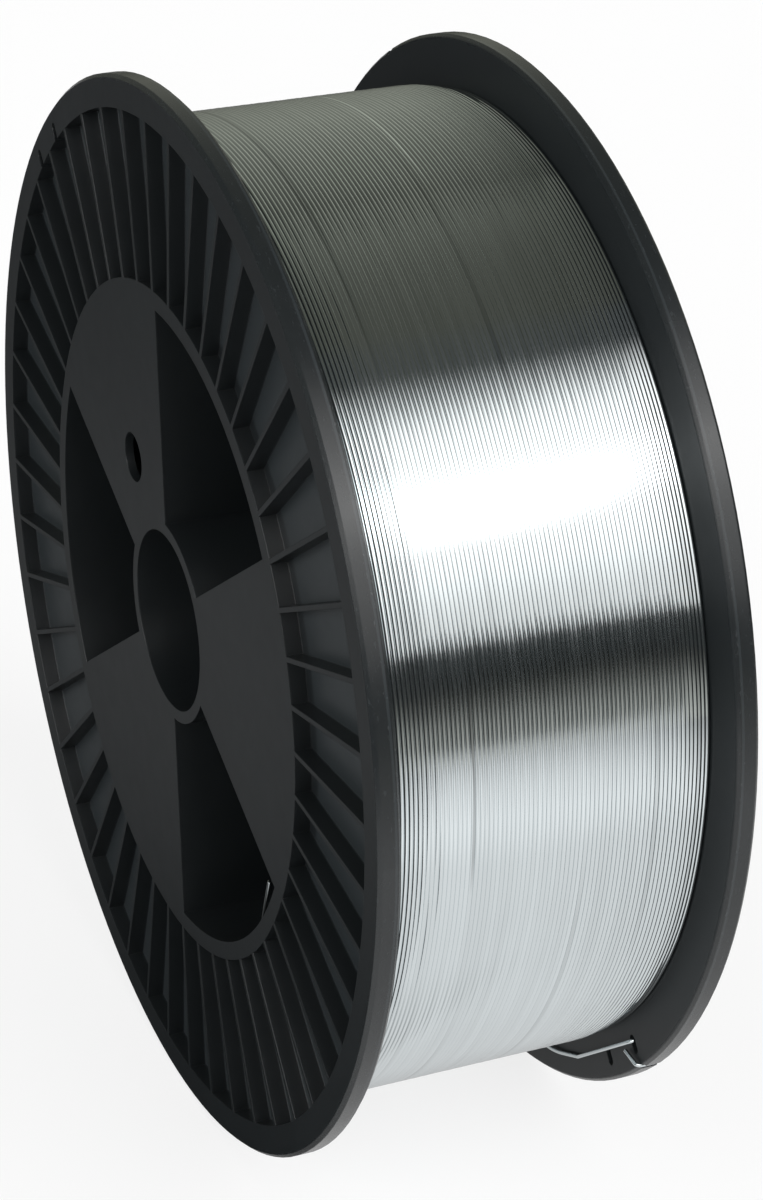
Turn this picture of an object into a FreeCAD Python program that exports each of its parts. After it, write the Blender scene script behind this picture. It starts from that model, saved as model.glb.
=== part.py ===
"""A 300 mm plastic spool full of 1.2 mm welding wire.

Millimetres. The axle runs along Y, +Z is up, and the origin is on the axle in the middle of the
width. The front flange faces -Y. Angles about the axle are counted from +X towards +Z, so they
run counterclockwise for someone who looks along +Y.
"""
import FreeCAD, Part
import math
import os

import Sketcher
from FreeCAD import Placement, Rotation, Vector

SIZES = [
    ("flange_radius", 150.0, "outside of both flanges"),
    ("spool_width", 103.0, "from face to face"),
    ("flange_thickness", 6.3, "of each flange at its rim"),
    ("rim_bevel", 1.0, "bevel on the rims' outer edges"),
    ("rim_ring", 9.0, "radial width of the flat ring along each rim"),
    ("flange_floor", 1.6, "wall between the rib cells and the winding"),
    ("rib_count", 48, "ribs on each flange"),
    ("rib_thickness", 1.4, "wall between two rib cells"),
    ("flange_depth", 55.0, "from the rim down to the barrel that carries the winding"),
    ("barrel_wall", 5.0, "thickness of the barrel"),
    ("bore_radius", 25.5, "hub bore for the feeder's spindle"),
    ("hub_wall", 3.5, "thickness of the hub tube"),
    ("sector_count", 3, "open sectors on each side"),
    ("sector_start", 33.1, "where the first open sector of the front begins"),
    ("spoke_wall", 3.0, "thickness of the walls from hub to barrel"),
    ("web_thickness", 2.5, "thickness of the closed sectors"),
    ("drive_radius", 7.0, "drive hole"),
    ("drive_distance", 46.5, "from the axle to the drive hole"),
    ("wire_diameter", 1.2, "the wire"),
    ("winding_margin", 13.0, "from the outside of the winding to the rim"),
    ("winding_drop", 1.6, "how much lower the winding lies beside the flanges"),
    ("winding_shoulder", 7.0, "width over which it drops"),
    ("winding_gap", 0.25, "between the winding and the spool"),
    ("slot_rib", 13, "the wire slots stand on both sides of this rib of the front"),
    ("slot_margin", 8.0, "from the rim to the centre of a wire slot's inner end"),
    ("slot_travel", 2.5, "between the centres of its two round ends"),
    ("wire_play", 0.9, "room on each side of the wire in a slot or hole"),
    ("seat_play", 0.15, "room between the wire and the outside of the rim it is hooked round"),
    ("notch_angle", 119.35, "free notch in the rear rim"),
    ("start_angle", -55.3, "hole in the barrel where the wire begins"),
    ("turn_inset", 0.15, "from the winding's side to its first and last turn"),
    ("bend_radius", 1.3, "tight bends in the wire's ends"),
    ("slot_bend", 8.0, "bend where the outer end comes to its slot"),
    ("gentle_bend", 50.0, "bends where it leaves the winding"),
]

doc = FreeCAD.newDocument("wire_spool")
sheet = doc.addObject("Spreadsheet::Sheet", "sizes")
for row, (alias, number, meaning) in enumerate(SIZES, start=1):
    sheet.set(f"A{row}", alias)
    sheet.set(f"B{row}", str(number))
    sheet.set(f"C{row}", meaning)
    sheet.setAlias(f"B{row}", alias)
doc.recompute()

HALF_WIDTH = "(sizes.spool_width / 2)"
HALF_WINDING = f"({HALF_WIDTH} - sizes.flange_thickness)"
WINDING_RADIUS = "(sizes.flange_radius - sizes.winding_margin)"
BARREL_RADIUS = "(sizes.flange_radius - sizes.flange_depth)"
BARREL_INSIDE = f"({BARREL_RADIUS} - sizes.barrel_wall)"
RING_RADIUS = "(sizes.flange_radius - sizes.rim_ring)"
RIB_PITCH = "360 / sizes.rib_count"
SECTOR_ANGLE = "180 / sizes.sector_count"
HUB_RADIUS = "(sizes.bore_radius + sizes.hub_wall)"
HOLE_RADIUS = "(sizes.wire_diameter / 2 + sizes.wire_play)"
SLOT_RIB_ANGLE = f"(sizes.sector_start + sizes.slot_rib * {RIB_PITCH})"
HOOK_ANGLE = f"({SLOT_RIB_ANGLE} + {RIB_PITCH} / 2 - 180)"
SLOT_INNER = "(sizes.flange_radius - sizes.slot_margin)"
SLOT_OUTER = f"({SLOT_INNER} + sizes.slot_travel)"
SEAT_DEPTH = "(sizes.wire_diameter + 2 * sizes.seat_play)"
TURN_PLACE = f"({HALF_WINDING} - sizes.winding_gap - sizes.turn_inset - sizes.wire_diameter / 2)"


def size(expression):
    """Number that an expression on the sheet's cells gives."""
    return float(sheet.evalExpression(expression))


def new_sketch(body, name, plane, lift="0", turn="0"):
    """Sketch on one of the body's origin planes, lifted along its normal and turned about it."""
    support = next(item for item in body.Origin.OriginFeatures if item.Role == plane)
    sketch = body.newObject("Sketcher::SketchObject", name)
    sketch.AttachmentSupport = (support, "")
    sketch.MapMode = "FlatFace"
    sketch.AttachmentOffset = Placement(Vector(0, 0, 1), Rotation(Vector(0, 0, 1), 1))
    sketch.setExpression("AttachmentOffset.Base.z", lift)
    sketch.setExpression("AttachmentOffset.Rotation.Angle", turn)
    return sketch


def face_sketch(body, name, side, turn):
    """Sketch on the front or rear face of the spool; its x axis points away from the axle."""
    lift = HALF_WIDTH if side == "front" else f"-{HALF_WIDTH}"
    return new_sketch(body, name, "XZ_Plane", lift, turn)


def hold(sketch, kind, geometry, corner, expression):
    """Distance along x or y from the sketch's origin to one corner of its geometry."""
    number = size(expression)
    if number < 0:
        rule = Sketcher.Constraint(kind, geometry, corner, -1, 1, -number)
        expression = f"-({expression})"
    else:
        rule = Sketcher.Constraint(kind, -1, 1, geometry, corner, number)
    index = sketch.addConstraint(rule)
    sketch.setExpression(f"Constraints[{index}]", expression)


def hold_radius(sketch, geometry, expression):
    index = sketch.addConstraint(Sketcher.Constraint("Radius", geometry, size(expression)))
    sketch.setExpression(f"Constraints[{index}]", expression)


def outline(sketch, corners):
    """Closed outline of straight lines through corners given as pairs of expressions."""
    points = [Vector(size(across), size(along), 0) for across, along in corners]
    lines = [sketch.addGeometry(Part.LineSegment(point, points[(index + 1) % len(points)]))
             for index, point in enumerate(points)]
    for index, line in enumerate(lines):
        after = lines[(index + 1) % len(lines)]
        sketch.addConstraint(Sketcher.Constraint("Coincident", line, 2, after, 1))
        hold(sketch, "DistanceX", line, 1, corners[index][0])
        hold(sketch, "DistanceY", line, 1, corners[index][1])


def round_hole(sketch, distance, radius):
    """Circle on the sketch's x axis."""
    circle = sketch.addGeometry(Part.Circle(Vector(size(distance), 0, 0), Vector(0, 0, 1),
                                            size(radius)))
    hold(sketch, "DistanceX", circle, 3, distance)
    sketch.addConstraint(Sketcher.Constraint("PointOnObject", circle, 3, -1))
    hold_radius(sketch, circle, radius)


def sector(sketch, inner, outer, half_angle, wall):
    """Ring sector on both sides of the x axis; its straight sides leave half a wall each."""
    corners = {}
    for name, radius in (("inner", inner), ("outer", outer)):
        along = f"sqrt(({radius})^2 - ({wall} / 2)^2)"
        height = f"{along} * sin({half_angle}) - {wall} / 2 * cos({half_angle})"
        corners[name] = (size(radius), size(height), height)
    arcs = {}
    for name, (radius, height, rule) in corners.items():
        opening = math.asin(height / radius)
        circle = Part.Circle(Vector(), Vector(0, 0, 1), radius)
        arcs[name] = sketch.addGeometry(Part.ArcOfCircle(circle, -opening, opening))
    ends = {name: math.sqrt(radius ** 2 - height ** 2) for name, (radius, height, rule)
            in corners.items()}
    sides = []
    for sign in (-1, 1):
        start = Vector(ends["inner"], sign * corners["inner"][1], 0)
        stop = Vector(ends["outer"], sign * corners["outer"][1], 0)
        sides.append(sketch.addGeometry(Part.LineSegment(start, stop)))
    for name, line_end, radius in (("inner", 1, inner), ("outer", 2, outer)):
        arc = arcs[name]
        sketch.addConstraint(Sketcher.Constraint("Coincident", arc, 3, -1, 1))
        sketch.addConstraint(Sketcher.Constraint("Coincident", arc, 1, sides[0], line_end))
        sketch.addConstraint(Sketcher.Constraint("Coincident", arc, 2, sides[1], line_end))
        sketch.addConstraint(Sketcher.Constraint("Vertical", arc, 1, arc, 2))
        hold_radius(sketch, arc, radius)
        hold(sketch, "DistanceY", arc, 2, corners[name][2])


def slot(sketch, inner, outer, radius):
    """Slot along the x axis with round ends of the given radius."""
    near, far, half = size(inner), size(outer), size(radius)
    quarter = math.pi / 2
    ends = [Part.ArcOfCircle(Part.Circle(Vector(near, 0, 0), Vector(0, 0, 1), half),
                             quarter, 3 * quarter),
            Part.ArcOfCircle(Part.Circle(Vector(far, 0, 0), Vector(0, 0, 1), half),
                             -quarter, quarter)]
    left, right = [sketch.addGeometry(arc) for arc in ends]
    top = sketch.addGeometry(Part.LineSegment(Vector(near, half, 0), Vector(far, half, 0)))
    bottom = sketch.addGeometry(Part.LineSegment(Vector(near, -half, 0), Vector(far, -half, 0)))
    for line, left_end, right_end in ((top, 1, 2), (bottom, 2, 1)):
        sketch.addConstraint(Sketcher.Constraint("Tangent", left, left_end, line, 1))
        sketch.addConstraint(Sketcher.Constraint("Tangent", right, right_end, line, 2))
    for arc, distance in ((left, inner), (right, outer)):
        hold(sketch, "DistanceX", arc, 3, distance)
        sketch.addConstraint(Sketcher.Constraint("PointOnObject", arc, 3, -1))
    hold_radius(sketch, left, radius)


def pocket(body, sketch, side, depth):
    """Pocket from the front or rear face into the spool."""
    doc.recompute()
    before = body.Shape.Volume
    cut = body.newObject("PartDesign::Pocket", sketch.Name + "_cut")
    cut.Profile = sketch
    cut.Type = "Length"
    cut.setExpression("Length", depth)
    cut.Reversed = side == "rear"
    doc.recompute()
    if not body.Shape.Volume < before:
        raise RuntimeError(f"{cut.Name} removes nothing")
    return cut


def repeat(body, feature, count):
    """Copies of a feature, evenly spaced about the axle."""
    axle = next(item for item in body.Origin.OriginFeatures if item.Role == "Y_Axis")
    pattern = body.newObject("PartDesign::PolarPattern", feature.Name + "_all")
    pattern.Originals = [feature]
    pattern.Axis = (axle, [""])
    pattern.Angle = 360
    pattern.setExpression("Occurrences", count)
    body.Tip = pattern
    doc.recompute()


def make_spool():
    """The moulding: barrel, hub tube, two ribbed flanges and webs that are open in turn."""
    body = doc.addObject("PartDesign::Body", "spool")
    section = new_sketch(body, "spool_section", "XY_Plane")
    outline(section, [
        ("sizes.bore_radius", f"-{HALF_WIDTH}"),
        ("sizes.flange_radius", f"-{HALF_WIDTH}"),
        ("sizes.flange_radius", f"-{HALF_WINDING}"),
        (BARREL_RADIUS, f"-{HALF_WINDING}"),
        (BARREL_RADIUS, HALF_WINDING),
        ("sizes.flange_radius", HALF_WINDING),
        ("sizes.flange_radius", HALF_WIDTH),
        ("sizes.bore_radius", HALF_WIDTH),
    ])
    turned = body.newObject("PartDesign::Revolution", "spool_turned")
    turned.Profile = section
    turned.ReferenceAxis = (section, ["V_Axis"])
    turned.Angle = 360
    doc.recompute()

    rims = [f"Edge{number}" for number, edge in enumerate(turned.Shape.Edges, start=1)
            if isinstance(edge.Curve, Part.Circle)
            and abs(edge.Curve.Radius - size("sizes.flange_radius")) < 1e-6]
    bevels = body.newObject("PartDesign::Chamfer", "rim_bevels")
    bevels.Base = (turned, rims)
    bevels.setExpression("Size", "sizes.rim_bevel")
    doc.recompute()

    for side, half_turn in (("front", "0"), ("rear", "180")):
        drive = face_sketch(body, f"{side}_drive_hole", side,
                            f"sizes.sector_start + 1.5 * {SECTOR_ANGLE} + {half_turn}")
        round_hole(drive, "sizes.drive_distance", "sizes.drive_radius")
        pocket(body, drive, side, "sizes.web_thickness + 1")

        for neighbour, step in (("first", "-"), ("second", "+")):
            opening = face_sketch(body, f"{side}_{neighbour}_slot", side,
                                  f"{SLOT_RIB_ANGLE} {step} {RIB_PITCH} / 2 - {half_turn}")
            slot(opening, SLOT_INNER, SLOT_OUTER, HOLE_RADIUS)
            pocket(body, opening, side, "sizes.flange_thickness + 1")

    for name, angle in (("hook_notch", HOOK_ANGLE), ("free_notch", "sizes.notch_angle")):
        notch = face_sketch(body, name, "rear", angle)
        round_hole(notch, "sizes.flange_radius", SEAT_DEPTH)
        pocket(body, notch, "rear", "sizes.flange_thickness + 1")

    seat = face_sketch(body, "wire_seat", "rear", HOOK_ANGLE)
    outline(seat, [(SLOT_OUTER, f"-{HOLE_RADIUS}"),
                   ("sizes.flange_radius + 1", f"-{HOLE_RADIUS}"),
                   ("sizes.flange_radius + 1", HOLE_RADIUS),
                   (SLOT_OUTER, HOLE_RADIUS)])
    pocket(body, seat, "rear", SEAT_DEPTH)

    start = new_sketch(body, "wire_start", "YZ_Plane")
    start.AttachmentOffset = Placement(Vector(0, 1, 1), Rotation(Vector(1, 0, 0), 1))
    start.setExpression("AttachmentOffset.Base.y", f"{BARREL_RADIUS} * sin(sizes.start_angle)")
    start.setExpression("AttachmentOffset.Base.z", f"{BARREL_RADIUS} * cos(sizes.start_angle)")
    start.setExpression("AttachmentOffset.Rotation.Angle", "-sizes.start_angle")
    centre = f"-{TURN_PLACE}"
    circle = start.addGeometry(Part.Circle(Vector(size(centre), 0, 0), Vector(0, 0, 1), 1))
    hold(start, "DistanceX", circle, 3, centre)
    start.addConstraint(Sketcher.Constraint("PointOnObject", circle, 3, -1))
    hold_radius(start, circle, "sizes.wire_diameter / 2 + sizes.wire_play / 2")
    pocket(body, start, "front", "sizes.barrel_wall + 1")

    for side, first in (("front", "sizes.sector_start"),
                        ("rear", f"(sizes.sector_start + {SECTOR_ANGLE})")):
        window = face_sketch(body, f"{side}_window", side, f"{first} + {SECTOR_ANGLE} / 2")
        sector(window, HUB_RADIUS, BARREL_INSIDE, f"({SECTOR_ANGLE} / 2)", "sizes.spoke_wall")
        cut = pocket(body, window, side, "sizes.spool_width - sizes.web_thickness")
        repeat(body, cut, "sizes.sector_count")

        cell = face_sketch(body, f"{side}_cell", side, f"sizes.sector_start + {RIB_PITCH} / 2")
        sector(cell, BARREL_RADIUS, RING_RADIUS, f"({RIB_PITCH} / 2)", "sizes.rib_thickness")
        cut = pocket(body, cell, side, "sizes.flange_thickness - sizes.flange_floor")
        repeat(body, cut, "sizes.rib_count")
    return body


def around(radius, angle, along):
    """Point at a radius and an angle about the axle."""
    return Vector(radius * math.cos(math.radians(angle)), along,
                  radius * math.sin(math.radians(angle)))


def bent_path(points, bends):
    """Straight runs joined by arcs that touch both; one bend radius for each inner point.

    A bend under three wire diameters is two chords of its arc, which keeps its facets few.
    """
    tight = 3 * size("sizes.wire_diameter")
    edges = []
    last = points[0]
    for before, corner, after, radius in zip(points, points[1:], points[2:], bends):
        back = (before - corner).normalize()
        ahead = (after - corner).normalize()
        half = back.getAngle(ahead) / 2
        reach = radius / math.tan(half)
        start = corner + back * reach
        stop = corner + ahead * reach
        middle = corner + (back + ahead).normalize() * (radius / math.sin(half) - radius)
        edges.append(Part.LineSegment(last, start).toShape())
        if radius < tight:
            edges.append(Part.LineSegment(start, middle).toShape())
            edges.append(Part.LineSegment(middle, stop).toShape())
        else:
            edges.append(Part.Arc(start, middle, stop).toShape())
        last = stop
    edges.append(Part.LineSegment(last, points[-1]).toShape())
    return Part.Wire(edges)


def swept_wire(name, points, bends):
    """Round wire along a bent path."""
    path = doc.addObject("Part::Feature", f"{name}_path")
    path.Shape = bent_path(points, bends)
    section = doc.addObject("Part::Circle", f"{name}_section")
    section.setExpression("Radius", "sizes.wire_diameter / 2")
    section.Placement = Placement(points[0], Rotation(Vector(0, 0, 1), points[1] - points[0]))
    sweep = doc.addObject("Part::Sweep", name)
    sweep.Sections = [section]
    sweep.Spine = (path, [])
    sweep.Solid = True
    sweep.Transition = "Right corner"
    doc.recompute()
    expected = math.pi * size("sizes.wire_diameter / 2") ** 2 * path.Shape.Length
    if abs(sweep.Shape.Volume / expected - 1) > 0.01:
        raise RuntimeError(f"{name} has volume {sweep.Shape.Volume}, not {expected}")
    return sweep


def make_winding():
    """The wound wire as one turned solid; it lies a little lower beside the flanges."""
    body = doc.addObject("PartDesign::Body", "winding")
    section = new_sketch(body, "winding_section", "XY_Plane")
    side = f"({HALF_WINDING} - sizes.winding_gap)"
    inner = f"{BARREL_RADIUS} + sizes.winding_gap"
    low = f"{WINDING_RADIUS} - sizes.winding_drop"
    middle = f"{WINDING_RADIUS} - 0.3 * sizes.winding_drop"
    outline(section, [
        (inner, f"-{side}"),
        (low, f"-{side}"),
        (middle, f"-({side} - 0.4 * sizes.winding_shoulder)"),
        (WINDING_RADIUS, f"-({side} - sizes.winding_shoulder)"),
        (WINDING_RADIUS, f"{side} - sizes.winding_shoulder"),
        (middle, f"{side} - 0.4 * sizes.winding_shoulder"),
        (low, side),
        (inner, side),
    ])
    turned = body.newObject("PartDesign::Revolution", "winding_turned")
    turned.Profile = section
    turned.ReferenceAxis = (section, ["V_Axis"])
    turned.Angle = 360
    doc.recompute()
    return body


def make_outer_end():
    """The wire's outer end: off the winding, through a rear slot and hooked round the rim."""
    hook = size(HOOK_ANGLE)
    turn = size(TURN_PLACE)
    bend = size("sizes.bend_radius")
    gentle = size("sizes.gentle_bend")
    slot_radius = size(SLOT_INNER)
    rim = size("sizes.flange_radius - sizes.seat_play - sizes.wire_diameter / 2")
    face = size(f"{HALF_WIDTH} - sizes.seat_play - sizes.wire_diameter / 2")
    surface = size(f"{WINDING_RADIUS} - sizes.winding_drop")
    points = [
        around(surface - 2.2, hook - 52, turn),
        around(surface + 2.5, hook - 38, turn),
        around(slot_radius + 0.9, hook - 23.5, turn),
        around(slot_radius + 0.7, hook - 15.6, turn),
        around(slot_radius + 0.3, hook, turn),
        around(slot_radius + 0.3, hook, face),
        around(rim, hook, face),
        around(rim, hook, turn),
        around(slot_radius + 1.7, hook - 1.9, turn),
    ]
    return swept_wire("outer_end", points, [gentle, gentle, size("sizes.slot_bend"), bend, bend, bend, bend])


def make_inner_end():
    """The wire's inner end: out of the barrel into the open sector behind the front face."""
    start = size("sizes.start_angle")
    turn = size(TURN_PLACE)
    inside = size(BARREL_INSIDE)
    points = [
        around(size(BARREL_RADIUS) + 2, start, -turn),
        around(inside - 1.9, start, -turn),
        around(inside - 5.9, start + 22.6, -size(HALF_WIDTH) + 2),
    ]
    return swept_wire("inner_end", points, [2 * size("sizes.bend_radius")])


spool = make_spool()
welding_wire = doc.addObject("Part::MultiFuse", "welding_wire")
welding_wire.Shapes = [make_winding(), make_outer_end(), make_inner_end()]
doc.recompute()
spool.Label = "spool"
welding_wire.Label = "welding_wire"

for item in doc.Objects:
    if {"Invalid", "Error"} & set(item.State):
        raise RuntimeError(f"{item.Name} failed: {item.State}")
os.makedirs("parts", exist_ok=True)
for piece in (spool, welding_wire):
    if piece.Shape.isNull() or not piece.Shape.isValid():
        raise RuntimeError(f"{piece.Label} has no valid shape")
    piece.Shape.exportStep(f"parts/{piece.Label}.step")
    print(piece.Label, len(piece.Shape.Solids), "solid", round(piece.Shape.Volume / 1000), "cm3",
          piece.Shape.BoundBox)
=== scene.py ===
"""Looks of a large plastic spool of bright welding wire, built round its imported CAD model.

Metres. The axle runs along Y, +Z is up and the front flange faces -Y. Angles about the axle are
in degrees from +X towards +Z.
"""
import math

import bpy
import numpy as np
from bpy.props import FloatProperty, FloatVectorProperty, IntProperty, PointerProperty
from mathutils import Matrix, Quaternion, Vector


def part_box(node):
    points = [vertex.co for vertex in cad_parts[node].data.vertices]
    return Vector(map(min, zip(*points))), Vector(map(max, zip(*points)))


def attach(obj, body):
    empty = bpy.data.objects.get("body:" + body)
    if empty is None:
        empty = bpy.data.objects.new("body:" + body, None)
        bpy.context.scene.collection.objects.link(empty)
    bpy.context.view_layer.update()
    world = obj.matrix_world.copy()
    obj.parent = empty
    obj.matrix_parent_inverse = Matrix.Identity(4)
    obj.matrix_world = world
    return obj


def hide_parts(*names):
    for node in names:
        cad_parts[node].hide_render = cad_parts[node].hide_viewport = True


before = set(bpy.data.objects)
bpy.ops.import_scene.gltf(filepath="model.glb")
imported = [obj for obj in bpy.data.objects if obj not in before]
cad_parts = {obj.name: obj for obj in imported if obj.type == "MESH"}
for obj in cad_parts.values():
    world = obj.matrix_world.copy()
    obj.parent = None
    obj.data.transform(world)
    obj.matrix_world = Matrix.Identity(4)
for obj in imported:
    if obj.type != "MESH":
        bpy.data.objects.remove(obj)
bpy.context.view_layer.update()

bl_info = {
    "name": "Wire spool",
    "version": (1, 0, 0),
    "blender": (4, 5, 0),
    "location": "3D View > Sidebar > Wire spool",
    "description": "Moulded spool, wound wire and studio for a spool of welding wire",
    "category": "Object",
}

MM = 0.001
SPOOL_LOW, SPOOL_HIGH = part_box("spool")
WINDING_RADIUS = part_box("welding_wire")[1].x

# Section of one turn: its corners in degrees from its crest, and the height over its centre, in
# wire radii, of the groove that it shares with the next turn.
TURN_CORNERS = (-42, -14, 14, 42)
GROOVE_HEIGHT = 0.48
# How steeply the last turns sink towards each flange: one is straight, more is rounder.
SHOULDER_CURVE = 1.35

# No turn lies quite round or quite straight. Each wave goes round a turn that many times, is that
# high, and starts elsewhere on every turn.
MOST_TURNS = 200
WAVES = (7, 13, 23, 37)
WAVE_HEIGHTS = np.array([0.018, 0.014, 0.009, 0.005]) * MM
WAVE_STARTS = np.random.default_rng(5).uniform(0, 2 * math.pi, (len(WAVES), MOST_TURNS))
SWAY = 0.012 * MM

# Turns that stand out from the rest: number from the front, then from and to which angle.
DARK_TURNS = ((15.0, 45, 115), (20.0, -9, 16))
LIGHT_TURN = (44.0, 72, 110)

# What the wire mirrors: a dim room, a softbox with a hot core and the edge of a table. Each card
# has its name, distance from the axle, ends along the axle, tint, brightness at angles in
# degrees, and brightness at shares of its length.
OLIVE = (0.97, 1.0, 0.84)
BLUISH = (0.93, 1.0, 1.0)
PEARL = (1.0, 0.99, 0.98)
CREAM = (1.0, 1.0, 0.93)
EVEN = ((0.0, 1.0), (1.0, 1.0))
DEGREES_IN_A_FACET = 6
CARDS = (
    ("room_low", 2.4, (-9.0, 9.0), BLUISH, (
        (-3.4, 0.05), (11.0, 0.045), (60.0, 0.066), (78.0, 0.086)), EVEN),
    ("room_high", 2.4, (-9.0, 9.0), OLIVE, (
        (78.0, 0.086), (97.0, 0.1), (115.0, 0.15)), EVEN),
    ("room_left", 2.4, (-9.0, 9.0), OLIVE, (
        (115.0, 0.21), (130.0, 0.34), (153.0, 0.56), (170.0, 0.5), (183.6, 0.1)),
     ((0.4, 0.2), (0.5, 0.45), (0.57, 0.85), (0.62, 1.0))),
    ("softbox", 1.6, (-4.0, 2.2), PEARL, (
        (10.9, 1.05), (17.0, 1.15), (25.0, 1.55), (33.0, 1.9), (50.0, 2.2), (57.0, 1.65),
        (61.0, 1.3), (65.0, 0.7), (68.5, 0.1)), ((0.0, 1.0), (0.9, 1.0), (1.0, 0.3))),
    ("softbox_core", 1.55, (-4.0, 6.0), PEARL, (
        (35.5, 1.9), (39.0, 4.4), (45.5, 4.4), (50.0, 2.1)), EVEN),
    ("table_edge", 0.75, (-3.0, 3.0), CREAM, (
        (-11.5, 0.7), (-7.7, 0.5), (-4.0, 0.34), (-0.5, 0.13), (3.0, 0.04)),
     ((0.417, 0.1), (0.458, 1.0), (0.583, 1.0), (0.633, 0.1))),
)


def length(name, description, default, most=1.0):
    """Property for a length in metres."""
    return FloatProperty(name=name, description=description, default=default, min=0.0, max=most,
                         subtype="DISTANCE", unit="LENGTH", precision=5)


def share(name, description, default, most=1.0):
    """Property for a plain number from zero up."""
    return FloatProperty(name=name, description=description, default=default, min=0.0, max=most,
                         subtype="FACTOR", precision=3)


def colour(name, description, default):
    """Property for a colour."""
    return FloatVectorProperty(name=name, description=description, default=default, size=3,
                               min=0.0, max=1.0, subtype="COLOR")


def angle(name, description, degrees):
    """Property for an angle."""
    return FloatProperty(name=name, description=description, default=math.radians(degrees),
                         subtype="ANGLE", unit="ROTATION")


class MouldingSettings(bpy.types.PropertyGroup):
    """Black plastic of the spool."""

    plastic: colour("Plastic", "Colour of the moulding", (0.0102, 0.0124, 0.0135))
    roughness: share("Roughness", "Roughness of the moulding", 0.32)
    shine: share("Shine", "Specular level of the moulding", 0.5)
    edge_round: length("Edge round", "Radius that the mould leaves on edges", 0.32 * MM)
    grain: length("Grain", "Size of the fine grain in the mould", 0.5 * MM)


class WindingSettings(bpy.types.PropertyGroup):
    """Wound wire and its two ends."""

    wire: length("Wire", "Diameter of the wire", 1.2 * MM)
    turns: IntProperty(name="Turns", description="Turns side by side in the top layer",
                       default=75, min=2, max=MOST_TURNS)
    steps: IntProperty(name="Steps", description="Straight steps round one turn",
                       default=180, min=24, max=360)
    outside: length("Outside", "Radius over the top layer", WINDING_RADIUS)
    inside: length("Inside", "Radius under the lowest layer", 95.25 * MM)
    reach: length("Reach", "From the middle to the centre of the last turn", 44.5 * MM)
    front_drop: length("Front drop", "How much lower the last front turn lies", 0.6 * MM)
    rear_drop: length("Rear drop", "How much lower the last rear turn lies", 1.1 * MM)
    shoulder: length("Shoulder", "Width over which it drops", 7.0 * MM)
    metal: colour("Metal", "Colour of the drawn wire", (0.645, 0.69, 0.705))
    roughness: share("Roughness", "Roughness of the drawn wire", 0.095)


class StudioSettings(bpy.types.PropertyGroup):
    """Camera, floor and light."""

    azimuth: angle("Azimuth", "Where the camera stands round the spool", 67.908)
    elevation: angle("Elevation", "How high the camera stands", 25.348)
    distance: length("Distance", "From the camera to the middle of the spool", 0.97205, 10.0)
    lens: FloatProperty(name="Lens", description="Focal length for a 36 mm sensor",
                        default=103.89, min=1.0, subtype="DISTANCE_CAMERA")
    aim_right: angle("Aim right", "How far right of the spool's middle it looks", 0.67036)
    aim_down: angle("Aim down", "How far below the spool's middle it looks", 0.17762)
    floor: colour("Floor", "Colour of the floor", (0.9, 0.9, 0.9))
    ambient: share("Ambient", "Soft light from all round", 0.4)
    key: share("Key", "Light from high on the right, one lights white paper white", 0.75, 3.0)
    fill: share("Fill", "Light from the front, one lights white paper white", 0.75, 3.0)


class Socket:
    """Output of a shader node that works in Python sums; each operator adds a Math node."""

    def __init__(self, net, socket):
        self.net = net
        self.socket = socket

    def joined(self, operation, first, second):
        return self.net.node("ShaderNodeMath", {"operation": operation}, {0: first, 1: second})

    def __add__(self, other):
        return self.joined("ADD", self, other)

    def __radd__(self, other):
        return self.joined("ADD", other, self)

    def __sub__(self, other):
        return self.joined("SUBTRACT", self, other)

    def __rsub__(self, other):
        return self.joined("SUBTRACT", other, self)

    def __mul__(self, other):
        return self.joined("MULTIPLY", self, other)

    def __rmul__(self, other):
        return self.joined("MULTIPLY", other, self)


class Net:
    """Node tree of one material or world."""

    def __init__(self, owner):
        owner.use_nodes = True
        self.tree = owner.node_tree
        self.tree.nodes.clear()

    def node(self, kind, settings=None, sockets=None, take=0):
        """New node: its settings, then values or links for its sockets, then the output to use."""
        made = self.tree.nodes.new(kind)
        for name, value in (settings or {}).items():
            if name == "stops":
                self.set_stops(made.color_ramp, value)
            else:
                setattr(made, name, value)
        for key, value in (sockets or {}).items():
            if isinstance(value, Socket):
                self.tree.links.new(value.socket, made.inputs[key])
            else:
                made.inputs[key].default_value = value
        return Socket(self, made.outputs[take]) if len(made.outputs) else made

    def set_stops(self, ramp, stops):
        while len(ramp.elements) < len(stops):
            ramp.elements.new(1.0)
        for element, (place, shade) in zip(ramp.elements, stops):
            element.position = place
            element.color = (shade, shade, shade, 1.0)

    def ramp(self, value, *stops):
        """Value carried through stops given as place and shade."""
        return self.node("ShaderNodeValToRGB", {"stops": stops}, {0: value})

    def noise(self, place, scale, detail=2.0):
        return self.node("ShaderNodeTexNoise", {},
                         {"Vector": place, "Scale": scale, "Detail": detail, "Roughness": 0.55})

    def mix(self, factor, first, second):
        """Colour between two colours."""
        return self.node("ShaderNodeMix", {"data_type": "RGBA"}, {0: factor, 6: first, 7: second},
                         take=2)

    def stretched(self, place, across, along, up):
        """Place with each of its axes scaled."""
        return self.node("ShaderNodeVectorMath", {"operation": "MULTIPLY"},
                         {0: place, 1: (across, along, up)})

    def parts(self, place):
        """The three numbers of a vector."""
        split = self.node("ShaderNodeSeparateXYZ", {}, {0: place}).socket.node
        return [Socket(self, split.outputs[number]) for number in range(3)]

    def rays(self, *kinds):
        """One for rays of the named kinds, else zero."""
        path = self.node("ShaderNodeLightPath").socket.node
        total = 0.0
        for kind in kinds:
            total = Socket(self, path.outputs[f"Is {kind} Ray"]) + total
        return self.node("ShaderNodeClamp", {}, {0: total})


def opaque(shade):
    """Colour with full alpha, as colour sockets take it."""
    return (*shade, 1.0)


def scaled(shade, factor):
    """Colour made lighter or darker."""
    return opaque([part * factor for part in shade])


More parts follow.
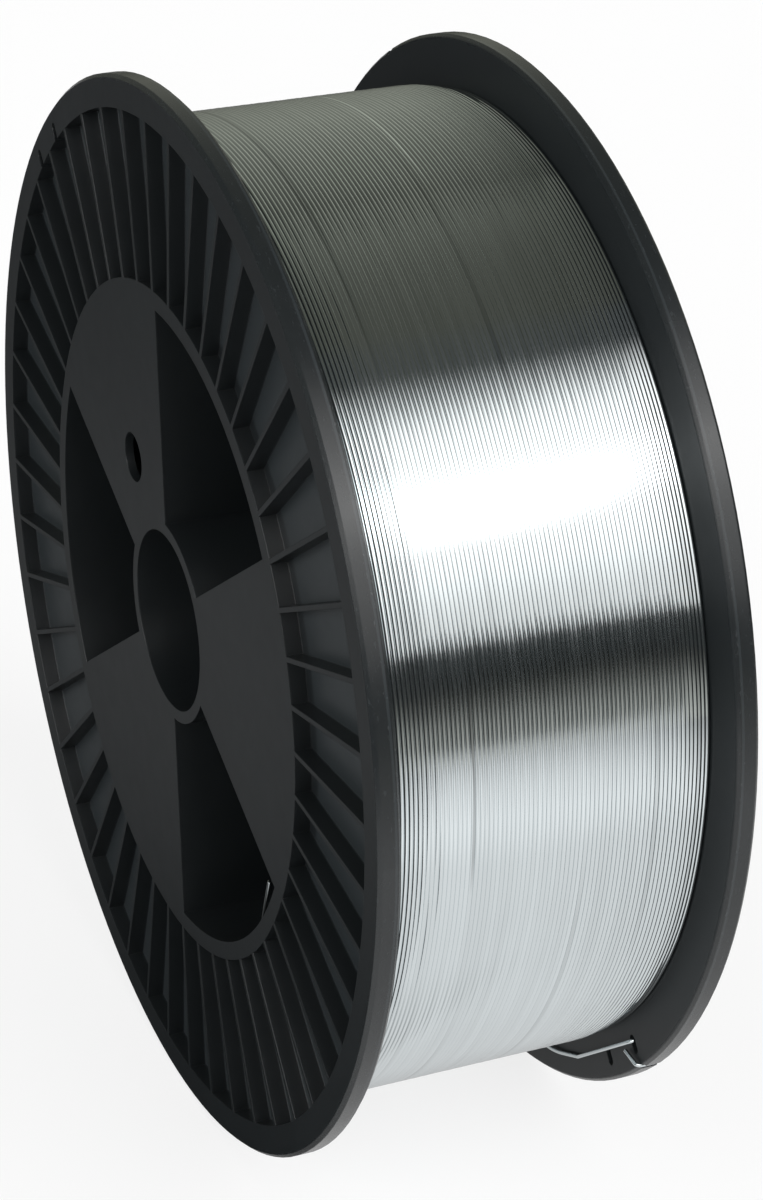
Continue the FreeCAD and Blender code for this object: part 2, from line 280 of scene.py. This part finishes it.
def make_plastic(settings):
    """Satin black moulding with a fine grain, rubbed rims, painted light on the rib cell floors and
    matt inner faces.
    """
    material = bpy.data.materials.new("moulded_plastic")
    net = Net(material)
    place = net.node("ShaderNodeTexCoord", take=3)
    across, along, up = net.parts(place)
    radius = net.node("ShaderNodeVectorMath", {"operation": "LENGTH"},
                      {0: net.stretched(place, 1.0, 0.0, 1.0)}, take=1)
    flow = net.noise(place, 22.0, 3.0)
    cloud = net.noise(place, 140.0, 3.0)
    scuffs = net.ramp(net.noise(net.stretched(place, 1.0, 3.0, 1.0), 420.0, 4.0),
                      (0.62, 0.0), (0.74, 1.0))
    # Where on the moulding, by share of its radius and squared share of its half width. The
    # flanges' inner faces lie at 0.770 of the latter, and the floors of the rib cells at 0.826.
    out = radius * (1 / SPOOL_HIGH.x)
    past_barrel = net.ramp(out, (0.655, 0.0), (0.665, 1.0))
    rim = net.ramp(out, (0.985, 0.0), (0.994, 1.0))
    aside = along * along * (1 / SPOOL_HIGH.y ** 2)
    inner_face = net.ramp(aside, (0.775, 1.0), (0.785, 0.0))
    painted_light_cells = net.ramp(aside, (0.812, 0.0), (0.818, 1.0), (0.835, 1.0), (0.841, 0.0))
    rubbed = scuffs * rim
    tone = net.mix(flow * 0.7 + cloud * 0.3, scaled(settings.plastic, 0.82),
                   scaled(settings.plastic, 1.2))
    # The rib cell floors are painted 2.2 times lighter: painted light standing in for light that
    # these recesses do not get.
    tone = net.mix(painted_light_cells * past_barrel * 0.8, tone, scaled(settings.plastic, 2.2))
    worn = net.mix(rubbed * 0.35, tone, scaled(settings.plastic, 3.4))
    height = net.noise(place, 1.0 / settings.grain, 2.0) * 0.7 + cloud * 0.3
    round_edge = net.node("ShaderNodeBevel", {"samples": 6}, {"Radius": settings.edge_round})
    grained = net.node("ShaderNodeBump", {}, {"Strength": 0.22, "Distance": 0.06 * MM,
                                              "Height": height, "Normal": round_edge})
    surface = net.node("ShaderNodeBsdfPrincipled", {}, {
        "Base Color": worn,
        "Roughness": settings.roughness - 0.05 + cloud * 0.1 - rim * 0.06 + rubbed * 0.08,
        "Specular IOR Level": settings.shine,
        "Normal": grained})
    matt = net.node("ShaderNodeBsdfPrincipled", {}, {
        "Base Color": tone, "Roughness": 0.6, "Specular IOR Level": 0.1, "Normal": grained})
    both = net.node("ShaderNodeMixShader", {}, {
        0: inner_face * past_barrel * 0.65, 1: surface, 2: matt})
    net.node("ShaderNodeOutputMaterial", {}, {"Surface": both})
    return material


def wire_metal(settings):
    """Bright drawn wire: each turn a little lighter, darker or duller than the next."""
    material = bpy.data.materials.get("drawn_wire")
    if material:
        return material
    material = bpy.data.materials.new("drawn_wire")
    net = Net(material)
    place = net.node("ShaderNodeTexCoord", take=3)
    across, along, up = net.parts(place)
    pitch = 2 * settings.reach / (settings.turns - 1)
    turns_along = (along + settings.reach) * (1 / pitch)
    number = net.node("ShaderNodeMath", {"operation": "ROUND"}, {0: turns_along})

    def by_turn(stretch, apart, detail):
        """Noise that runs along each turn and jumps from one to the next."""
        spot = net.node("ShaderNodeCombineXYZ", {}, {
            0: across * stretch, 1: number * apart, 2: up * stretch})
        return net.noise(spot, 1.0, detail)

    each = net.ramp(by_turn(stretch=9.0, apart=0.61, detail=1.0), (0.3, 0.0), (0.7, 1.0))
    odd = net.ramp(by_turn(stretch=5.0, apart=1.7, detail=0.0), (0.72, 0.0), (0.8, 1.0))
    at = net.node("ShaderNodeMath", {"operation": "ARCTAN2"}, {0: up, 1: across})

    def marked(which, low, high):
        """One along the crest of one turn between two angles in degrees, fading at its ends."""
        crest = net.node("ShaderNodeMath", {"operation": "COMPARE"}, {
            0: turns_along, 1: which, 2: 0.32})
        share_round = (at - math.radians(low)) * (1 / math.radians(high - low))
        return crest * net.ramp(share_round, (0.0, 0.0), (0.2, 1.0), (0.8, 1.0), (1.0, 0.0))

    dull = net.noise(place, 35.0, 3.0)
    tone = net.mix(each * 0.6 + dull * 0.4, scaled(settings.metal, 0.93),
                   scaled(settings.metal, 1.06))
    tone = net.mix(odd * 0.4, tone, scaled(settings.metal, 0.6))
    for turn in DARK_TURNS:
        tone = net.mix(marked(*turn), tone, scaled(settings.metal, 0.62))
    tone = net.mix(marked(*LIGHT_TURN), tone, scaled(settings.metal, 1.4))
    drawn = net.node("ShaderNodeBump", {}, {"Strength": 0.1, "Distance": 0.02 * MM,
                                            "Height": net.noise(place, 900.0, 2.0)})
    surface = net.node("ShaderNodeBsdfPrincipled", {}, {
        "Base Color": tone,
        "Metallic": 1.0,
        "Roughness": settings.roughness - 0.02 + each * 0.03 + dull * 0.02,
        "Normal": drawn})
    net.node("ShaderNodeOutputMaterial", {}, {"Surface": surface})
    return material


def add_piece(name, points, faces, material, sharp=()):
    """Mesh object with smooth faces; sharp holds the pairs of points whose edge stays crisp."""
    mesh = bpy.data.meshes.new(name)
    mesh.from_pydata(points, [], faces)
    mesh.polygons.foreach_set("use_smooth", [True] * len(mesh.polygons))
    if len(sharp):
        ends = np.zeros(len(mesh.edges) * 2, dtype=np.int64)
        mesh.edges.foreach_get("vertices", ends)
        ends = np.sort(ends.reshape(-1, 2), axis=1)
        keys = ends[:, 0] * len(points) + ends[:, 1]
        wanted = np.sort(np.asarray(sharp), axis=1)
        mesh.edges.foreach_set("use_edge_sharp",
                               np.isin(keys, wanted[:, 0] * len(points) + wanted[:, 1]))
    mesh.materials.append(material)
    mesh.update()
    piece = bpy.data.objects.new(name, mesh)
    bpy.context.scene.collection.objects.link(piece)
    return piece


def fit_wire(piece):
    """A piece of the wire rides on the spool and stands for the plain CAD wire."""
    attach(piece, "root")
    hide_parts("welding_wire")


def winding_outline(settings, turn_angle):
    """Closed outline of the winding at one angle: points along and out, and which are creased."""
    radius = settings.wire / 2
    places = np.linspace(-settings.reach, settings.reach, settings.turns)
    numbers = np.arange(settings.turns)
    sway = np.sin(turn_angle * 2 + numbers * 2.4) * np.sin(turn_angle + numbers * 1.1)
    sway[[0, -1]] = 0
    centres = places + SWAY * sway
    sunk = np.clip((np.abs(places) - settings.reach + settings.shoulder) / settings.shoulder, 0, 1)
    drops = np.where(places < 0, settings.front_drop, settings.rear_drop)
    heights = settings.outside - radius - drops * sunk ** SHOULDER_CURVE
    slopes = np.degrees(np.arctan(-np.gradient(heights, places)))
    layer = settings.wire * math.cos(math.radians(30))
    layers = int((heights.min() - settings.inside - radius) / layer)
    for waves, height, start in zip(WAVES, WAVE_HEIGHTS, WAVE_STARTS):
        heights -= height * (1 + np.sin(turn_angle * waves + start[numbers]))
    outline = []
    for number, (centre, height, slope) in enumerate(zip(centres, heights, slopes)):
        if number:
            outline.append(((before[0] + centre) / 2,
                            (before[1] + height) / 2 + GROOVE_HEIGHT * radius, True))
        for corner in TURN_CORNERS:
            turned = math.radians(corner + slope)
            outline.append((centre + radius * math.sin(turned),
                            height + radius * math.cos(turned), False))
        before = (centre, height)

    def stepped_end(level):
        """Layers under the last turn of the top layer, from the outside in."""
        side = []
        for number in range(layers + 1):
            depth = (number % 2) * radius
            side.append((settings.reach + radius - depth, level, False))
            level -= layer / 2
            side.append((settings.reach + radius - 0.5 * radius - depth / 2, level, True))
            level -= layer / 2
        side[-1] = (side[-1][0], settings.inside, True)
        return side

    near = [(-along, out, crease) for along, out, crease in stepped_end(heights[0])]
    return outline + stepped_end(heights[-1]) + near[::-1]


def make_winding(settings, material):
    """Top layer turn by turn, stepped layers on both ends and a plain bore, as one closed skin."""
    rings = [winding_outline(settings, 2 * math.pi * step / settings.steps)
             for step in range(settings.steps)]
    count = len(rings[0])
    points = []
    for step, ring in enumerate(rings):
        turn = 2 * math.pi * step / settings.steps
        cosine, sine = math.cos(turn), math.sin(turn)
        points += [(out * cosine, along, out * sine) for along, out, crease in ring]
    faces = []
    sharp = []
    for step in range(settings.steps):
        here, there = step * count, (step + 1) % settings.steps * count
        for place in range(count):
            after = (place + 1) % count
            faces.append((here + place, here + after, there + after, there + place))
            if rings[0][place][2]:
                sharp.append((here + place, there + place))
    return add_piece("wound_turns", points, faces, material, sharp)


def around(radius, degrees, along):
    """Point at a radius and an angle about the axle, all lengths in millimetres."""
    turn = math.radians(degrees)
    return Vector((radius * math.cos(turn), along, radius * math.sin(turn))) * MM


def bent_line(corners, bends, step):
    """Points along straight runs joined by arcs, one bend radius for each inner corner."""
    line = [corners[0]]
    for before, corner, after, radius in zip(corners, corners[1:], corners[2:], bends):
        back = (before - corner).normalized()
        ahead = (after - corner).normalized()
        half = back.angle(ahead) / 2
        reach = radius / math.tan(half)
        centre = corner + (back + ahead).normalized() * (radius / math.sin(half))
        start = corner + back * reach - centre
        sweep = math.pi - 2 * half
        axis = start.cross(corner + ahead * reach - centre).normalized()
        steps = max(4, round(sweep * radius / step))
        for number in range(steps + 1):
            turned = start.copy()
            turned.rotate(Quaternion(axis, sweep * number / steps))
            line.append(centre + turned)
    line.append(corners[-1])
    return line


def make_tube(name, line, radius, material, sides=14):
    """Closed round wire along points, with both cut ends slightly bevelled."""
    first = (line[1] - line[0]).normalized()
    last = (line[-1] - line[-2]).normalized()
    bevel = 0.3 * radius
    cut = 0.6 * radius
    centres = [line[0], line[0] + first * bevel, *line[1:-1], line[-1] - last * bevel, line[-1]]
    sizes = [cut] + [radius] * (len(centres) - 2) + [cut]
    side = first.orthogonal().normalized()
    points = []
    for number, (centre, size) in enumerate(zip(centres, sizes)):
        ahead = centres[min(number + 1, len(centres) - 1)] - centres[max(number - 1, 0)]
        ahead.normalize()
        side = (side - ahead * side.dot(ahead)).normalized()
        other = ahead.cross(side)
        for corner in range(sides):
            turn = 2 * math.pi * corner / sides
            points.append(centre + (side * math.cos(turn) + other * math.sin(turn)) * size)
    faces = [tuple(range(sides)[::-1]), tuple(len(points) - sides + n for n in range(sides))]
    sharp = []
    for ring in range(len(centres) - 1):
        for corner in range(sides):
            here, after = ring * sides + corner, ring * sides + (corner + 1) % sides
            faces.append((here, after, after + sides, here + sides))
            if ring == 0:
                sharp.append((here, after))
            if ring == len(centres) - 2:
                sharp.append((here + sides, after + sides))
    return add_piece(name, points, faces, material, sharp)


class SPOOL_OT_dress_moulding(bpy.types.Operator):
    """Give the CAD spool its black plastic"""

    bl_idname = "wire_spool.dress_moulding"
    bl_label = "Dress moulding"

    def execute(self, context):
        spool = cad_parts["spool"]
        plastic = make_plastic(context.scene.spool_moulding)
        spool.data.materials.clear()
        spool.data.materials.append(plastic)
        return {"FINISHED"}


class SPOOL_OT_wind_wire(bpy.types.Operator):
    """Wind the wire on the barrel, turn beside turn"""

    bl_idname = "wire_spool.wind_wire"
    bl_label = "Wind wire"

    def execute(self, context):
        settings = context.scene.spool_winding
        fit_wire(make_winding(settings, wire_metal(settings)))
        return {"FINISHED"}


class SPOOL_OT_bend_ends(bpy.types.Operator):
    """Bend the outer end through the rear flange and the inner end behind the front one"""

    bl_idname = "wire_spool.bend_ends"
    bl_label = "Bend ends"

    def execute(self, context):
        settings = context.scene.spool_winding
        metal = wire_metal(settings)
        radius = settings.wire / 2
        step = 0.8 * MM
        last_turn = 44.2
        slot, slot_turn = 142.3, -45.65
        rim, past_flange = 149.25, 50.75
        outer = bent_line([
            around(133.2, slot_turn - 52, last_turn),
            around(137.9, slot_turn - 38, last_turn),
            around(142.9, slot_turn - 23.5, last_turn),
            around(142.7, slot_turn - 15.6, last_turn),
            around(slot, slot_turn, last_turn),
            around(slot, slot_turn, past_flange),
            around(rim, slot_turn, past_flange),
            around(rim, slot_turn, last_turn),
            around(143.7, slot_turn - 1.9, last_turn),
        ], [bend * MM for bend in (50, 50, 5, 1.3, 1.3, 1.3, 1.3)], step)
        fit_wire(make_tube("outer_end", outer, radius, metal))
        inner = bent_line([
            around(97, -55.3, -last_turn),
            around(88.1, -55.3, -last_turn),
            around(84.1, -32.7, -49.5),
        ], [2.6 * MM], step)
        fit_wire(make_tube("inner_end", inner, radius, metal))
        return {"FINISHED"}


class SPOOL_OT_set_stage(bpy.types.Operator):
    """Set up the floor, the light and the camera"""

    bl_idname = "wire_spool.set_stage"
    bl_label = "Set stage"

    def execute(self, context):
        settings = context.scene.spool_studio
        make_floor(settings)
        make_world(settings)
        for card in CARDS:
            add_card(*card)
        add_sun("key", (1.2, 0.35, 1.05), settings.key)
        add_sun("fill", (0.15, -1.0, 0.25), settings.fill)
        make_camera(settings)
        context.scene.view_settings.view_transform = "Standard"
        return {"FINISHED"}


def mirrored_floor(net):
    """Brightness that reflections see on the floor, by the place on it in metres.

    The winding mirrors the table to the right of the spool, and the front face the dim near left.
    Both carry a painted shadow of the spool where they come near it.
    """
    across, along, up = net.parts(net.node("ShaderNodeTexCoord", take=3))
    near_left = (net.ramp(across * -5.0 + 1.0, (0.2, 0.0), (0.7, 1.0))
                 * net.ramp(along * -5.0, (0.225, 0.0), (0.262, 1.0)))
    # The dim near left is darker towards the spool and its front face: a painted shadow of the
    # spool, as reflections see it.
    dim = (net.ramp(across + 1.0, (0.4, 0.08), (0.55, 0.12), (0.7, 0.16), (0.85, 0.15),
                    (1.0, 0.05))
           * net.ramp(along * -5.0, (0.3, 0.3), (0.7, 1.0)))
    lengthwise = net.ramp(along * along, (0.15, 1.0), (0.26, 0.07)) * 1.2
    # The table is darker at small across, under the spool: a painted shadow of the spool, as
    # reflections see it.
    table = lengthwise * net.ramp(
        across, (0.03, 0.45), (0.05, 0.5), (0.08, 0.67), (0.12, 0.75), (0.29, 0.81),
        (0.34, 0.97), (0.39, 0.97), (0.44, 0.84), (0.5, 0.76), (0.6, 0.58), (0.74, 0.37),
        (0.9, 0.3))
    return table * (1 - near_left) + dim * near_left


def make_floor(settings):
    """Pale floor that shows almost white, keeps the spool's shadow and has its own reflection."""
    material = bpy.data.materials.new("pale_floor")
    net = Net(material)
    matt = net.node("ShaderNodeBsdfPrincipled", {}, {
        "Base Color": opaque(settings.floor), "Roughness": 0.7, "Specular IOR Level": 0.2})
    glossy = net.rays("Glossy")
    white = net.node("ShaderNodeEmission", {}, {
        "Color": 1 - (1 - mirrored_floor(net)) * glossy, "Strength": 1.0})
    both = net.node("ShaderNodeMixShader", {}, {
        0: net.rays("Camera", "Transmission") * 0.8 + glossy, 1: matt, 2: white})
    net.node("ShaderNodeOutputMaterial", {}, {"Surface": both})
    half = 8.0
    floor = add_piece("floor", [(-half, -half, SPOOL_LOW.z), (half, -half, SPOOL_LOW.z),
                                (half, half, SPOOL_LOW.z), (-half, half, SPOOL_LOW.z)],
                      [(0, 1, 2, 3)], material)


def make_world(settings):
    """White all round for the eye and in reflections, and a softer light on the object."""
    world = bpy.data.worlds.new("studio")
    bpy.context.scene.world = world
    net = Net(world)
    white = net.rays("Camera", "Glossy", "Transmission")
    light = net.node("ShaderNodeBackground", {}, {
        "Color": opaque((1, 1, 1)), "Strength": white * (1 - settings.ambient) + settings.ambient})
    net.node("ShaderNodeOutputWorld", {}, {"Surface": light})


def add_card(name, reach, side, tint, shades, fade):
    """Card bent round the axle that only reflections see; CARDS says what it takes."""
    low, high = shades[0][0], shades[-1][0]
    brightest = max(shade for degrees, shade in shades)
    material = bpy.data.materials.new(name)
    net = Net(material)
    across, along, up = net.parts(net.node("ShaderNodeTexCoord", take=3))
    turn = net.node("ShaderNodeMath", {"operation": "ARCTAN2"}, {0: across * -1.0, 1: up})
    share_up = (turn + math.radians(90 - low)) * (1 / math.radians(high - low))
    glow = net.ramp(share_up, *[((degrees - low) / (high - low), shade / brightest)
                                for degrees, shade in shades])
    lengthwise = net.ramp((along - side[0]) * (1 / (side[1] - side[0])), *fade)
    light = net.node("ShaderNodeEmission", {}, {
        "Color": net.mix(glow * lengthwise, opaque((0, 0, 0)), opaque(tint)),
        "Strength": brightest})
    net.node("ShaderNodeOutputMaterial", {}, {"Surface": light})
    steps = max(1, round((high - low) / DEGREES_IN_A_FACET))
    points = []
    for step in range(steps + 1):
        bend = math.radians(low + (high - low) * step / steps)
        points += [(reach * math.cos(bend), end, reach * math.sin(bend)) for end in side]
    faces = [(step * 2, step * 2 + 1, step * 2 + 3, step * 2 + 2) for step in range(steps)]
    card = add_piece(name, points, faces, material)
    for ray in ("camera", "diffuse", "transmission", "volume_scatter", "shadow"):
        setattr(card, f"visible_{ray}", False)


def add_sun(name, place, level, spread=45):
    """Soft lamp far off in the direction of place, left out of reflections; spread in degrees."""
    lamp = bpy.data.lights.new(name, "SUN")
    lamp.angle = math.radians(spread)
    lamp.energy = level * math.pi
    sun = bpy.data.objects.new(name, lamp)
    sun.location = place
    sun.rotation_euler = (-sun.location).to_track_quat("-Z", "Y").to_euler()
    sun.visible_glossy = False
    bpy.context.scene.collection.objects.link(sun)


def make_camera(settings):
    """Camera at the photograph's angle, turned a little so that the whole spool is in view."""
    azimuth, elevation = settings.azimuth, settings.elevation
    back = Vector((math.sin(azimuth) * math.cos(elevation),
                   -math.cos(azimuth) * math.cos(elevation), math.sin(elevation)))
    right = (-back).cross(Vector((0, 0, 1))).normalized()
    up = right.cross(-back)
    aim = -back + right * math.tan(settings.aim_right) - up * math.tan(settings.aim_down)
    lens = bpy.data.cameras.new("camera")
    lens.sensor_width = 36.0
    lens.lens = settings.lens
    camera = bpy.data.objects.new("camera", lens)
    camera.location = back * settings.distance
    camera.rotation_euler = aim.to_track_quat("-Z", "Y").to_euler()
    bpy.context.scene.collection.objects.link(camera)
    bpy.context.scene.camera = camera


class SPOOL_PT_panel(bpy.types.Panel):
    """Sizes, finishes and steps of the wire spool"""

    bl_idname = "SPOOL_PT_panel"
    bl_label = "Wire spool"
    bl_space_type = "VIEW_3D"
    bl_region_type = "UI"
    bl_category = "Wire spool"

    def draw(self, context):
        for group, steps in PANEL_ROWS:
            box = self.layout.box()
            settings = getattr(context.scene, group)
            for name in settings.__annotations__:
                box.prop(settings, name)
            for step in steps:
                box.operator(step)


PANEL_ROWS = (("spool_moulding", ["wire_spool.dress_moulding"]),
              ("spool_winding", ["wire_spool.wind_wire", "wire_spool.bend_ends"]),
              ("spool_studio", ["wire_spool.set_stage"]))
GROUPS = {"spool_moulding": MouldingSettings, "spool_winding": WindingSettings,
          "spool_studio": StudioSettings}
CLASSES = (*GROUPS.values(), SPOOL_OT_dress_moulding, SPOOL_OT_wind_wire, SPOOL_OT_bend_ends,
           SPOOL_OT_set_stage, SPOOL_PT_panel)


def register():
    for entry in CLASSES:
        bpy.utils.register_class(entry)
    for name, group in GROUPS.items():
        setattr(bpy.types.Scene, name, PointerProperty(type=group))


def unregister():
    for name in GROUPS:
        delattr(bpy.types.Scene, name)
    for entry in reversed(CLASSES):
        bpy.utils.unregister_class(entry)


def main():
    register()
    bpy.ops.wire_spool.dress_moulding()
    bpy.ops.wire_spool.wind_wire()
    bpy.ops.wire_spool.bend_ends()
    bpy.ops.wire_spool.set_stage()


if __name__ == "__main__":
    main()
